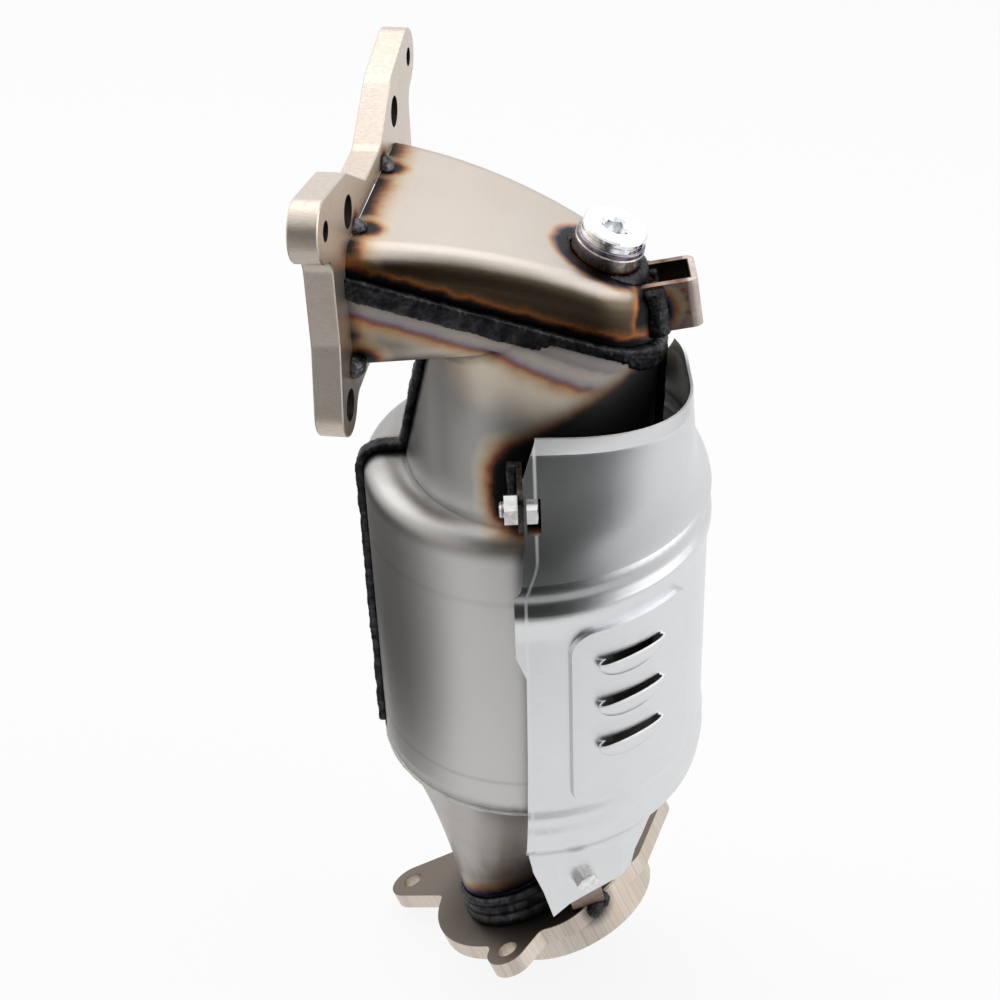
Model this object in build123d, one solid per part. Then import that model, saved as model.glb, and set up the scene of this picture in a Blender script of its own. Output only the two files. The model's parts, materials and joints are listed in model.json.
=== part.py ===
from build123d import *
from math import acos, atan2, cos, exp, hypot, pi, radians, sin
import os

os.makedirs("parts", exist_ok=True)

# can and shells, radii from the can axis
can_r = 58.0
sheet = 1.5
can_low = 105.5
can_high = 238.5
shoulder_r = 8.0
brick_low = 122.0
brick_high = 220.0
mat_t = 3.6
seat_gap = 0.3

# outlet cone, from a collar in the can to a pipe end on the exit flange
cone_r = 56.2
cone_top = 103.0
collar_top = 112.0
cone_end = 14.0
cone_waist = 1.5
exit_pipe = (-4.0, -5.0)
pipe_r = 26.3

# exit flange, its plane crosses the can axis at the origin
exit_tilt = 27.0
exit_turn = 150.0
exit_plate_t = 7.5
exit_boss_t = 20.0
exit_disc = (-4.5, -8.0)
exit_disc_r = 43.0
exit_boss = (-12.0, 5.0)
exit_boss_r = 38.0
exit_bore = (-6.5, -1.5)
exit_bore_r = 21.0
exit_ears = ((-4.6, -75.9, 10.5), (39.9, 9.4, 9.3), (-56.0, 30.0, 10.0))
exit_hole_r = 4.5

# inlet flange, local x towards the near side and local y up
inlet_turn = 9.9
inlet_origin = (-47.1, 19.9, 344.8)
inlet_t = 10.0
stud_x = 39.0
stud_hole_r = 5.5
pin_x = 68.5
pin_y = 8.4
pin_hole_r = 3.3
foot_x = 58.5
foot_y = -62.6
port_near = -42.0
port_far = 48.0
port_low = -53.5
port_high = -9.5
port_r = 12.0

# cover tongue seen from above, and the plane of its seam
tip_x = 24.0
tip_y = 2.0
tip_r = 27.0
near_root = (-66.0, -29.6)
far_root = (-50.0, 65.0)
far_middle = (-8.0, 50.8)
far_turn = 56.0
seam_x = 6.7
seam_z = 298.5
seam_slope = 0.39
pan_z = 289.5
roof_x = -69.5
roof_z = 100.5
roof_arc_r = 235.2
roof_r = 9.0
pan_r = 8.0
weld_w = 8.0
weld_h = 2.4

# sensor bung, plug and bracket
bung_top = (35.3, 1.0, 325.7)
bung_axis = (0.3, -0.1, 0.95)
bung_r = 12.5
thread_r = 9.0
plug_r = 11.5
plug_head = 4.2
washer_t = 1.8
bung_drop = 20.0
plug_af = 8.0
washer_r = 12.2
bracket_reach = 19.5
bracket_half = 9.0
bracket_t = 2.5
bracket_bend = 0.6
bracket_h = 18.5
bracket_place = Pos(46.0, -1.0, 288.5) * Rot(0, -8, 0)

# heat shield, a sheet round the can
shield_r = 70.0
shield_t = 1.0
shield_end = 62.0
skirt_in = 6.0
skirt_low = 40.0
panel_turn = radians(-56.2)
panel_half = radians(21.2)
panel_low = 119.0
panel_high = 203.0
panel_rise = 2.0
hood_heights = (189.3, 169.6, 149.8)
hood_shift = -3.5
hood_half = 15.0
hood_fall = 9.0
hood_rise = 3.2
slit = 1.2
rim_low = 225.5
rim_sections = ((230, 0, -0.5, 69.4, 69.1, 2.0), (237, 0.5, -4.5, 65.8, 63.0, 2.2), (247, 1.5, -12, 61.5, 52.5, 2.5),
                (262, 2, -16, 59.6, 45, 2.7), (284, 2, -18, 58.6, 36.5, 2.7))
rim_top = 278.0
notch_w = 5.6
rear_line = ((4, 300), (4, 278), (26, 246), (45, 232), (62, 226))
edge_line = ((4.2, 277), (0.2, 265), (-0.2, 262), (-0.2, 240), (-2.1, 225), (-4.6, 221), (-4.6, 194), (-1.1, 184),
             (-1.6, 145), (-2.4, 110), (-3.4, 89))
tab_turn = -70.0
tab_r = 62.5
tab_bolt = (-2.0, 69.5)
tab_outline = ((-24.8, 95), (-23.7, 85.7), (-22.2, 76.6), (-17.8, 63), (-12.9, 44), (-9.3, 56.5), (-4.1, 58.3),
               (13.4, 63.6), (18.6, 67), (20.7, 74.3), (30, 89), (40, 95))
fold_spot = (-15.0, 70.0)
fold_line = 22.3
fold_bend = 40.0

# shield fixings, M6, and the brackets that carry them
flange_x = -0.2
upper_y = -58.5
upper_z = 251.0
bracket_sheet = 2.0
bolt_r = 3.0
bolt_hole_r = 3.3
bolt_head = 4.0
nut_af = 10.0
screw_af = 8.0
nut_h = 4.6
foot_spot = (8.0, 33.5, -3.75)

# weld beads
bead_h = 2.8
bead_half = 2.6
collar_r = 17.2
collar_low = -22.0
collar_high = -12.0
tack_r = 4.0
tacks = ((-15.0, -10.5), (32.0, -10.5), (50.3, -52.0), (-47.0, -24.0))
weld_gap = 0.05


def unit(v):
    length = sum(c * c for c in v) ** 0.5
    return tuple(c / length for c in v)


exit_n = (sin(radians(exit_tilt)) * cos(radians(exit_turn)),
          sin(radians(exit_tilt)) * sin(radians(exit_turn)),
          cos(radians(exit_tilt)))
exit_plane = Plane(origin=(0, 0, 0), x_dir=(-sin(radians(exit_turn)), cos(radians(exit_turn)), 0), z_dir=exit_n)
inlet_plane = Plane(origin=inlet_origin,
                    x_dir=(-sin(radians(inlet_turn)), -cos(radians(inlet_turn)), 0),
                    z_dir=(-cos(radians(inlet_turn)), sin(radians(inlet_turn)), 0))
bung_plane = Plane(origin=bung_top, x_dir=unit((0.95, 0, -0.3)), z_dir=unit(bung_axis))
tab_n = (cos(radians(tab_turn)), sin(radians(tab_turn)), 0)
tab_plane = Plane(origin=tuple(tab_r * c for c in tab_n), x_dir=(-tab_n[1], tab_n[0], 0), z_dir=tab_n)
tab_spot = tab_plane * Pos(tab_bolt[0], tab_bolt[1], 0)


def seam_height(x):
    return seam_z - seam_slope * (x - seam_x)


def disc(x, y, r):
    return Pos(x, y) * Circle(r)


def on_circle(c, angle):
    return (c[0] + c[2] * cos(angle), c[1] + c[2] * sin(angle))


# the shape of a belt round two circles, each given as x, y, r
def belt(c, d):
    gap = hypot(d[0] - c[0], d[1] - c[1])
    line = atan2(d[1] - c[1], d[0] - c[0])
    lean = acos((c[2] - d[2]) / gap)
    a = on_circle(c, line + lean)
    b = on_circle(d, line + lean)
    e = on_circle(d, line - lean)
    f = on_circle(c, line - lean)
    far = ThreePointArc(b, on_circle(d, line), e)
    near = ThreePointArc(f, on_circle(c, line + pi), a)
    return make_face(Line(a, b).edges() + far.edges() + Line(e, f).edges() + near.edges())


def rounded(x0, x1, y0, y1, r):
    return Pos((x0 + x1) / 2, (y0 + y1) / 2) * RectangleRounded(x1 - x0, y1 - y0, r)


def box_between(x0, x1, y0, y1, z0, z1):
    return Pos((x0 + x1) / 2, (y0 + y1) / 2, (z0 + z1) / 2) * Box(x1 - x0, y1 - y0, z1 - z0)


def rod(r, z0, z1):
    return Pos(0, 0, z0) * extrude(Circle(r), z1 - z0)


def hexagon(af, z0, z1):
    return Pos(0, 0, z0) * extrude(RegularPolygon(af / 2, 6, major_radius=False), z1 - z0)


# the cover tongue and the duct under it

def tangent_point(p, side):
    turn = atan2(p[1] - tip_y, p[0] - tip_x) + side * acos(tip_r / hypot(p[0] - tip_x, p[1] - tip_y))
    return on_circle((tip_x, tip_y, tip_r), turn)


def tongue(grow):
    near = tangent_point(near_root, 1)
    far = on_circle((tip_x, tip_y, tip_r), radians(far_turn))
    back = ThreePointArc(far, far_middle, far_root)
    sides = Polyline(far_root, near_root, near)
    tip = ThreePointArc(near, (tip_x + tip_r, tip_y), far)
    outline = make_face(back.edges() + sides.edges() + tip.edges())
    return offset(outline, grow) if grow else outline


def prism(grow, z0, z1):
    return Pos(0, 0, z0) * extrude(tongue(grow), z1 - z0)


def side_slab(points):
    face = Plane.XZ * make_face(Polyline(*points, close=True))
    return extrude(face, 200, both=True)


def under_seam(drop=0.0):
    return side_slab([(-120, seam_height(-120) - drop), (120, seam_height(120) - drop), (120, -100), (-120, -100)])


def over_seam(drop=0.0):
    return side_slab([(-120, seam_height(-120) - drop), (120, seam_height(120) - drop), (120, 500), (-120, 500)])


def roof_slab(grow):
    return Pos(roof_x, 0, roof_z) * Rot(90, 0, 0) * Cylinder(roof_arc_r + grow, 400)


def cover_body(grow, floor_drop=0.0):
    body = prism(grow, 200, 400) & roof_slab(grow)
    rim = body.faces().sort_by(Axis.Z)[-1].edges()
    body = fillet(rim, roof_r + grow)
    return body & over_seam(floor_drop)


def pan(grow):
    body = prism(grow, pan_z - grow, 380)
    return fillet(body.faces().sort_by(Axis.Z)[0].edges(), pan_r + grow)


def lip(grow):
    return prism(grow, 200, 380) & over_seam(10 - grow)


def neck(grow):
    top = Pos(12, 2, 300) * Ellipse(39.5 + grow, 28 + grow)
    foot = Pos(3, 0, 234) * Ellipse(46 + grow, 55.5 + grow)
    return loft([foot, top])


def can(grow, low=can_low):
    body = Pos(0, 0, low) * extrude(Circle(can_r + grow), can_high + grow - low)
    return fillet(body.faces().sort_by(Axis.Z)[-1].edges(), shoulder_r + grow)


def duct(grow, low=can_low, top_cut=True):
    body = can(grow, low) + neck(grow) + pan(grow) + lip(grow)
    return body & under_seam() if top_cut else body


def tube_side(solid):
    return solid - inlet_plane * box_between(-200, 200, -70, 200, 0, 100)


# sheet shells

def inlet_cover():
    wall = cover_body(0) - cover_body(-sheet, 5)
    hole = bung_plane * rod(bung_r + seat_gap, -60, 20)
    return tube_side(wall) - hole


def shell(side):
    wall = duct(0) - duct(-sheet, can_low - 5, False)
    half = box_between(-120, 120, min(0, 120 * side), max(0, 120 * side), 0, 400)
    return tube_side(wall) & half


def cone_section(t, grow):
    top = (0, 0, cone_top)
    end = tuple(exit_plane.from_local_coords(Vector(exit_pipe[0], exit_pipe[1], cone_end)))
    spot = tuple(top[i] + t * (end[i] - top[i]) for i in range(3))
    tilt = radians(exit_tilt * t)
    normal = (sin(tilt) * cos(radians(exit_turn)), sin(tilt) * sin(radians(exit_turn)), cos(tilt))
    radius = cone_r + (pipe_r - cone_r) * t ** 0.8 - cone_waist * sin(pi * t)
    return Plane(origin=spot, x_dir=exit_plane.x_dir, z_dir=normal) * Circle(radius + grow)


def cone_body(grow, reach):
    funnel = loft([cone_section(t, grow) for t in (1, 0.75, 0.5, 0.25, 0)])
    collar = rod(cone_r + grow, cone_top, collar_top + reach)
    pipe = exit_plane * Pos(exit_pipe[0], exit_pipe[1], 0) * rod(pipe_r + grow, -reach, cone_end)
    return funnel + collar + pipe


def outlet_cone():
    return cone_body(0, 0) - cone_body(-sheet, 5)


# flanges

# rounds the inner corners of an outline
def softened(outline, r):
    return offset(offset(outline, r), -r)


def exit_outline():
    ear_a, ear_b, ear_c = exit_ears
    shape = disc(*exit_disc, exit_disc_r)
    shape += belt(ear_a, (-12.0, -50.0, 17.8))
    shape += belt(ear_b, (20.0, 12.0, 9.5))
    shape += belt(ear_c, (-20.0, 34.0, 12.5))
    shape += belt((-20.0, 34.0, 12.5), (8.0, 17.0, 20.0))
    shape += belt(ear_c, (-26.0, 6.0, 20.0))
    return softened(shape, 4)


def exit_flange():
    plate = extrude(exit_outline(), -exit_plate_t)
    boss = Pos(0, 0, -exit_boss_t) * extrude(disc(*exit_boss, exit_boss_r), exit_boss_t - 1)
    boss = chamfer(boss.faces().sort_by(Axis.Z)[0].edges(), 0.8)
    body = plate + boss
    body -= Pos(exit_bore[0], exit_bore[1], 0) * rod(exit_bore_r, -30, 5)
    for x, y, r in exit_ears:
        body -= Pos(x, y, 0) * rod(exit_hole_r, -30, 5)
    return exit_plane * body


def inlet_outline():
    shape = rounded(-64.5, 64.5, -65.5, -2, 8)
    for s in (-1, 1):
        shape += belt((s * pin_x, pin_y, 10.5), (s * (stud_x + 3), 1.0, 13))
        shape += belt((s * (stud_x + 3), 1.0, 13), (s * 14, -11, 8.8))
        shape += belt((s * foot_x, foot_y, 11), (s * 53, -40, 12))
    return softened(shape, 7)


def inlet_flange():
    plate = extrude(inlet_outline(), inlet_t)
    plate = chamfer(plate.faces().filter_by(Axis.Z).edges(), 0.4)
    plate -= extrude(rounded(port_near, port_far, port_low, port_high, port_r), 60, both=True)
    for s in (-1, 1):
        plate -= Pos(s * stud_x, 0, -5) * Cylinder(stud_hole_r, 60)
        plate -= Pos(s * pin_x, pin_y, -5) * Cylinder(pin_hole_r, 60)
        plate -= Pos(s * foot_x, foot_y, -5) * Cylinder(stud_hole_r, 60)
    return inlet_plane * plate


# sensor bung, its plug and washer, and the bracket at the tongue's tip

def sensor_bung():
    body = rod(bung_r, -bung_drop, -plug_head - washer_t) - rod(thread_r, -60, 20)
    body = chamfer(body.faces().sort_by(Axis.Z)[-1].edges(), 0.5)
    return bung_plane * body


def sensor_plug():
    head = rod(plug_r, -plug_head, 0)
    head = chamfer(head.faces().sort_by(Axis.Z)[-1].edges(), 0.6)
    groove = rod(plug_r + 5, -2.4, -1.8) - rod(plug_r - 0.8, -5, 5)
    shank = rod(thread_r - seat_gap, -plug_head - 11, -plug_head)
    shank = chamfer(shank.faces().sort_by(Axis.Z)[0].edges(), 1.2)
    socket = hexagon(plug_af, -7, 1)
    mouth = Pos(0, 0, -0.6) * Cone(plug_af / 2, plug_af / 2 + 1.4, 1.4)
    return bung_plane * (head + shank - groove - socket - mouth)


def plug_washer():
    ring = rod(washer_r, -plug_head - washer_t, -plug_head) - rod(thread_r + seat_gap, -20, 5)
    ring = fillet(ring.faces().sort_by(Axis.Z)[-1].edges().sort_by(SortBy.LENGTH)[-1:], 0.6)
    return bung_plane * ring


def sensor_bracket():
    outer = rounded(-30, bracket_reach, -bracket_half, bracket_half, bracket_bend + bracket_t)
    inner = rounded(-28, bracket_reach - bracket_t, -bracket_half + bracket_t, bracket_half - bracket_t, bracket_bend)
    channel = extrude(outer - inner, bracket_h)
    channel &= box_between(-14, 40, -40, 40, -5, 40)
    channel -= Pos(bracket_reach, 0.5, bracket_h / 2) * Rot(0, 90, 0) * Cylinder(4, 20)
    channel = bracket_place * channel
    return channel - cover_body(0) - duct(0)


# heat shield

def bump(z, centre, width):
    return exp(-(((z - centre) / width) ** 2))


def wall_r(z):
    r = shield_r + 1.3 * bump(z, 211, 5.5) + 0.9 * bump(z, 223.5, 3) - 0.5 * bump(z, 217.5, 2.2)
    r += 1.2 * bump(z, 112, 2.2) + 1.2 * bump(z, 104.5, 2.4)
    fall = max(0.0, min(1.0, (98 - z) / 12))
    return r - skirt_in * fall * fall * (3 - 2 * fall)


def wall_solid(low, high, grow, steps=48):
    heights = [low + (high - low) * i / steps for i in range(steps + 1)]
    side = Spline([(wall_r(z) + grow, z) for z in heights])
    base = Polyline((wall_r(high) + grow, high), (0, high), (0, low), (wall_r(low) + grow, low))
    return Rot(0, 0, 180) * revolve(Plane.XZ * make_face(side.edges() + base.edges()), Axis.Z)


# the open side of the sheet holds the seams of the forms
def rim_section(z, x, y, half_x, half_y, power, grow):
    spots = []
    for i in range(24):
        a = pi + 2 * pi * i / 24
        r = ((abs(cos(a)) / half_x) ** power + (abs(sin(a)) / half_y) ** power) ** (-1 / power) + grow
        spots.append((x + r * cos(a), y + r * sin(a)))
    return Pos(0, 0, z) * make_face(Spline(spots, periodic=True))


def rim_solid(grow):
    foot = Pos(0, 0, rim_low) * Rot(0, 0, 180) * Circle(wall_r(rim_low) + grow)
    return loft([foot] + [rim_section(*s, grow) for s in rim_sections])


def panel_face(z):
    return Plane(origin=(0, 0, z), x_dir=(-sin(panel_turn), cos(panel_turn), 0),
                 z_dir=(cos(panel_turn), sin(panel_turn), 0))


def panel_solid(grow):
    width = 2 * panel_half * (shield_r + 2)
    outline = RectangleRounded(width + 2 * grow, panel_high - panel_low + 2 * grow, 9 + grow)
    window = extrude(panel_face((panel_low + panel_high) / 2) * outline, 100)
    return window & rod(shield_r + panel_rise + grow, panel_low - 5, panel_high + 5)


# half an egg that swells out of the panel and ends flat at its slit
def hood_solid(z, grow):
    egg = scale(Sphere(1), by=(hood_half + grow, hood_fall + grow, hood_rise + grow))
    placed = panel_face(z) * Pos(hood_shift, 0, shield_r + panel_rise) * egg
    return placed & rod(200, z - 2 * hood_fall, z + (0 if grow == 0 else slit))


# adds a raised form to a sheet, which follows it on the inside
def raised(sheet_wall, core, form, inner_form):
    return (sheet_wall - inner_form) + (form - core - inner_form)


# presses a flat into a sheet, which follows it on the inside
def pressed(sheet_wall, core, form, inner_form):
    return (sheet_wall - form) + ((inner_form - form) & core)


def tab_cuts(grow):
    flat = tab_plane * Pos(0, 0, grow) * extrude(rounded(-30, 26, 20, 86, 12), 40)
    fold = tab_plane * Pos(fold_spot[0], fold_spot[1], grow) * Rot(0, 0, fold_line) * Rot(0, -fold_bend, 0)
    return flat + fold * box_between(-60, 30, -60, 16, 0, 40)


def shield_outline():
    upper = make_face(Polyline(*edge_line, (200, 86), (200, rim_top), (4.2, rim_top), close=True))
    tab = tab_plane * extrude(make_face(Polyline(*tab_outline, close=True)), 60, both=True)
    end = Rot(0, 0, shield_end) * box_between(-200, 200, -400, 0, 0, 400)
    return (extrude(Plane.XZ * upper, 200, both=True) + tab) & end


def rear_cut():
    corners = Polyline(*rear_line, (100, rim_low + 0.5), (100, 300), close=True)
    return extrude(Plane.YZ * make_face(corners), 200, both=True)


def heat_shield():
    outline = shield_outline()
    core = wall_solid(skirt_low - 5, rim_low + 2, -shield_t)
    inner_panel = panel_solid(-shield_t)
    wall = wall_solid(skirt_low, rim_low, 0) - core
    wall = raised(wall, core, panel_solid(0), inner_panel)
    for z in hood_heights:
        wall = raised(wall, core + inner_panel, hood_solid(z, 0), hood_solid(z, -shield_t))
    wall = pressed(wall, core, tab_cuts(0), tab_cuts(-shield_t)) & outline
    rim = (rim_solid(0) & outline) - rear_cut() - rim_solid(-shield_t)
    flange = box_between(flange_x, flange_x + shield_t, -90, upper_y + 6.5, upper_z - 7, upper_z + 8)
    body = wall + rim + (flange & rim_solid(0))
    body -= box_between(flange_x + shield_t, notch_w, -90, -40, upper_z - 6.5, upper_z + 6.5)
    body -= across(upper_y, upper_z) * rod(bolt_hole_r, -10, 10)
    return body - tab_spot * rod(bolt_hole_r, -30, 10)


# brackets and fixings of the shield

def across(y, z):
    return Pos(0, y, z) * Rot(0, 90, 0)


def shield_bracket_upper():
    plate = box_between(flange_x - bracket_sheet, flange_x, upper_y - 5.5, -30, upper_z - 9, upper_z + 9)
    plate = fillet(plate.edges().filter_by(Axis.X).group_by(Axis.Y)[0], 5)
    return plate - duct(0) - across(upper_y, upper_z) * rod(bolt_hole_r, -60, 60)


def shield_bracket_lower():
    back = tab_spot * Pos(0, 0, -shield_t - bracket_sheet) * extrude(rounded(-9, 9, -9, 9, 4), bracket_sheet)
    top = tab_spot * Pos(0, -7, -shield_t - bracket_sheet / 2)
    start = Vector(*top.position)
    end = exit_plane.from_local_coords(Vector(*foot_spot))
    along = end - start
    run = Plane(origin=start, x_dir=tab_plane.x_dir, z_dir=along)
    leg = run * Pos(0, 0, along.length / 2 + 1.5) * Box(14, bracket_sheet, along.length + 3)
    leg -= tab_spot * box_between(-30, 30, -60, 30, -shield_t - 0.1, 30)
    body = back + leg - tab_spot * rod(bolt_hole_r, -30, 10)
    return body - exit_flange()


def bolt(length, af):
    crown = 1.35 * af
    sink = (crown ** 2 - (0.47 * af) ** 2) ** 0.5
    head = hexagon(af, 0, bolt_head) & Pos(0, 0, bolt_head - sink) * Sphere(crown)
    shank = rod(bolt_r - 0.1, -length, 0)
    return head + chamfer(shank.faces().sort_by(Axis.Z)[0].edges(), 0.6)


def nut():
    body = hexagon(nut_af, 0, nut_h) & Pos(0, 0, nut_h / 2) * Sphere(6.3)
    return body - rod(bolt_r + 0.1, -5, 10)


def upper_bolt():
    return Pos(flange_x + shield_t, 0, 0) * across(upper_y, upper_z) * bolt(9.3, nut_af)


def upper_nut():
    return Pos(flange_x - bracket_sheet - nut_h, 0, 0) * across(upper_y, upper_z) * nut()


def lower_bolt():
    return tab_spot * bolt(12, screw_af)


def lower_nut():
    return tab_spot * Pos(0, 0, -shield_t - bracket_sheet - nut_h) * nut()


# what fills the can

def catalyst_substrate():
    return rod(can_r - sheet - mat_t, brick_low, brick_high)


def support_mat():
    return rod(can_r - sheet, brick_low + 3, brick_high - 3) - rod(can_r - sheet - mat_t, 0, 400)


# weld beads, each cut back to the faces it lies on

def weld_cover_seam():
    ring = prism(weld_h, 200, 400) - prism(0, 150, 450)
    band = ring & over_seam(weld_w / 2) & under_seam(-weld_w / 2)
    return tube_side(band) - duct(0)


def weld_shell(side):
    ridge = (can(bead_h) + neck(bead_h)) & under_seam(weld_w / 2 + 0.4)
    slab = box_between(min(0, 120 * side), max(0, 120 * side), -bead_half, bead_half, can_low, 400)
    return (ridge & slab) - duct(0)


def weld_inlet_tacks():
    blobs = inlet_plane * Pos(*tacks[0], 0) * Sphere(tack_r)
    for u, v in tacks[1:]:
        blobs += inlet_plane * Pos(u, v, 0) * Sphere(tack_r)
    return tube_side(blobs) - cover_body(0) - duct(0) - weld_cover_seam()


def weld_bung_collar():
    collar = rod(collar_r, collar_low, collar_high)
    collar = fillet(collar.faces().sort_by(Axis.Z)[-1].edges(), 4)
    return bung_plane * (collar - rod(bung_r, -60, 20)) - cover_body(0) - duct(0) - sensor_bracket()


def weld_bracket_base():
    beads = bracket_place * (Pos(3.2, bracket_half, 9) * Cylinder(2.6, 17) + Pos(3.4, -bracket_half, 9) * Cylinder(4.2, 17))
    inside = bracket_half - bracket_t - 0.9
    beads += bracket_place * (Pos(4.2, inside, 9) * Cylinder(2, 16) + Pos(4.2, -inside, 9) * Cylinder(2, 16))
    return beads - cover_body(0) - duct(0) - sensor_bracket() - weld_cover_seam() - weld_bung_collar()


def weld_exit_ring():
    passes = Pos(0, 0, 2.2) * Torus(pipe_r + 1.2, 2.8)
    passes += Pos(0, 0, 6.6) * Torus(pipe_r + 0.7, 2.5) + Pos(0, 0, 10.6) * Torus(pipe_r + 0.3, 2.3)
    passes = exit_plane * Pos(exit_pipe[0], exit_pipe[1], 0) * (passes & rod(60, 0, 40))
    return passes - cone_body(weld_gap, 0)


def weld_shield_foot():
    rim = exit_plane * Pos(*foot_spot)
    blob = rim * Sphere(6.2) + rim * Pos(-4.5, 2.5, 0) * Sphere(5) + rim * Pos(4.5, -2.5, 0) * Sphere(5)
    return blob - exit_flange() - shield_bracket_lower()


def weld_can_rim():
    ring = Pos(0, 0, can_low - 0.9) * Torus(can_r - 1.0, 1.4)
    return ring & rod(100, 50, can_low) - cone_body(0, 0)


def weld_upper_tab():
    bead = box_between(flange_x - bracket_sheet - 3, flange_x - bracket_sheet, -70, -30, upper_z - 9, upper_z + 9)
    return bead & duct(2.6) - duct(0)


pieces = {
    "inlet_flange": inlet_flange,
    "inlet_cover": inlet_cover,
    "front_shell": lambda: shell(-1),
    "rear_shell": lambda: shell(1),
    "outlet_cone": outlet_cone,
    "exit_flange": exit_flange,
    "sensor_bung": sensor_bung,
    "sensor_plug": sensor_plug,
    "plug_washer": plug_washer,
    "sensor_bracket": sensor_bracket,
    "heat_shield": heat_shield,
    "shield_bracket_upper": shield_bracket_upper,
    "shield_bracket_lower": shield_bracket_lower,
    "upper_bolt": upper_bolt,
    "upper_nut": upper_nut,
    "lower_bolt": lower_bolt,
    "lower_nut": lower_nut,
    "catalyst_substrate": catalyst_substrate,
    "support_mat": support_mat,
    "weld_cover_seam": weld_cover_seam,
    "weld_shell_left": lambda: weld_shell(-1),
    "weld_shell_right": lambda: weld_shell(1),
    "weld_inlet_tacks": weld_inlet_tacks,
    "weld_bung_collar": weld_bung_collar,
    "weld_bracket_base": weld_bracket_base,
    "weld_exit_ring": weld_exit_ring,
    "weld_shield_foot": weld_shield_foot,
    "weld_can_rim": weld_can_rim,
    "weld_upper_tab": weld_upper_tab,
}

# the pieces are drawn from the can's axis and stored from the point between the head studs
to_row = Rot(0, 0, inlet_turn) * Pos(*[-c for c in inlet_plane.from_local_coords(Vector(0, 0, inlet_t))])

for node, make in pieces.items():
    export_step(to_row * make(), "parts/" + node + ".step")
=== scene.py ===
import bpy
import json
from math import atan2, pi, radians, sin
from mathutils import Matrix, Vector, noise


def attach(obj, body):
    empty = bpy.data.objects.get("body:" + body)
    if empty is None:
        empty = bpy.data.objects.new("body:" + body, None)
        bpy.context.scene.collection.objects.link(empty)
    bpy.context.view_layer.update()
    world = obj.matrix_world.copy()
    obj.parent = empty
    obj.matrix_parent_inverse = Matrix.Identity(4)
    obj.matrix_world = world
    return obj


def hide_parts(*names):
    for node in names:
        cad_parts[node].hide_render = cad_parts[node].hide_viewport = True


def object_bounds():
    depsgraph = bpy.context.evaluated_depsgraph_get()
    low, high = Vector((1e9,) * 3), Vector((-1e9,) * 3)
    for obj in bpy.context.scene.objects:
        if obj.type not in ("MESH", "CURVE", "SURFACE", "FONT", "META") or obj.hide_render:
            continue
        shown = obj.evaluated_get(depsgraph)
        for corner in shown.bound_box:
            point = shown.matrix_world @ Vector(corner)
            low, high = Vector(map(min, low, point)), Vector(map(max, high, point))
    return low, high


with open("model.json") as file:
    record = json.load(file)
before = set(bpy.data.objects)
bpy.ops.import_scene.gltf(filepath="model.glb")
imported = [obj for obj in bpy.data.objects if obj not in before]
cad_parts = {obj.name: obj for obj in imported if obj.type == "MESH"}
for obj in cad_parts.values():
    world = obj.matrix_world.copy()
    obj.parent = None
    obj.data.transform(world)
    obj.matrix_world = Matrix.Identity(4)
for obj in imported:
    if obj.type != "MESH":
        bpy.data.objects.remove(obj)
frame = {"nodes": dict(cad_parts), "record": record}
nodes = frame["nodes"]
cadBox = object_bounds()
bpy.ops.object.select_all(action="DESELECT")
mm = 0.001
print("frame loaded with", len(nodes), "nodes")

# patterns are placed in millimetres in the can's frame: z runs up the can's axis from the outlet plate,
# and x points at the tip of the duct
canFrame = {
    "turn": radians(-9.9),
    "headPoint": Vector((-56.951, 21.619, 344.8)),  # the part's origin
    "seamSlope": 0.39,  # the cover's seam lies in a slanting plane
    "seamRise": 301.113,
    "seamHalf": 4.0,  # half the width of its bead
    "tip": Vector((24.0, 2.0, 0.0)),
    "tipRadius": 28.0,
    "bungTop": Vector((35.3, 1.0, 325.7)),
    "bungAxis": Vector((0.3, -0.1, 0.95)).normalized(),
    "bungRadius": 16.0,
    "exitNormal": Vector((-0.3932, 0.227, 0.891)).normalized(),
    "pipeSpot": Vector((-1.86, 5.69, -2.27)),
    "pipeRadius": 26.3,
    "ringRadius": 28.0,  # of the weld round the pipe
    "plateBack": 10.0,  # thickness of the head flange
    "canRadius": 58.0,
}
weldSpots = {
    "tacks": [(-42.3, 35.0, 335.3), (-49.2, -11.3, 335.3), (-52.6, -29.7, 292.8), (-40.1, 66.1, 320.8)],
    "bracket": (48.0, -9.5, 298.0),
    "foot": (24.0, -23.0, 13.0),
}


def toCan(p):
    return Matrix.Rotation(canFrame["turn"], 3, "Z") @ (Vector(p) / mm) + canFrame["headPoint"]


cameraSettings = {
    "place": (0.14918, -0.57006, 0.2801),
    "ahead": (-0.1389, 0.7960, -0.5892),
    "right": (0.98838, 0.14850, -0.03243),
    "lens": 66.94,
    "sensor": 36.0,
}


def makeCamera(s):
    data = bpy.data.cameras.new("camera")
    data.lens = s["lens"]
    data.sensor_width = s["sensor"]
    camera = bpy.data.objects.new("camera", data)
    bpy.context.collection.objects.link(camera)
    ahead = Vector(s["ahead"]).normalized()
    right = Vector(s["right"]).normalized()
    up = right.cross(ahead).normalized()
    turn = Matrix((right, up, -ahead)).transposed()
    camera.matrix_world = Matrix.Translation(s["place"]) @ turn.to_4x4()
    bpy.context.scene.camera = camera


makeCamera(cameraSettings)
bpy.context.scene.view_settings.view_transform = "Standard"
print("camera placed")


# helpers for shader trees: an input is a socket to link or a plain value
def addNode(tree, kind, **values):
    node = tree.nodes.new("ShaderNode" + kind)
    for name, value in values.items():
        setattr(node, name, value)
    return node


def feed(tree, socket, value):
    if isinstance(value, bpy.types.NodeSocket):
        tree.links.new(value, socket)
    else:
        socket.default_value = value


def mathNode(tree, operation, *inputs, clamp=False):
    node = addNode(tree, "Math", operation=operation, use_clamp=clamp)
    for socket, value in zip(node.inputs, inputs):
        feed(tree, socket, value)
    return node.outputs[0]


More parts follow.
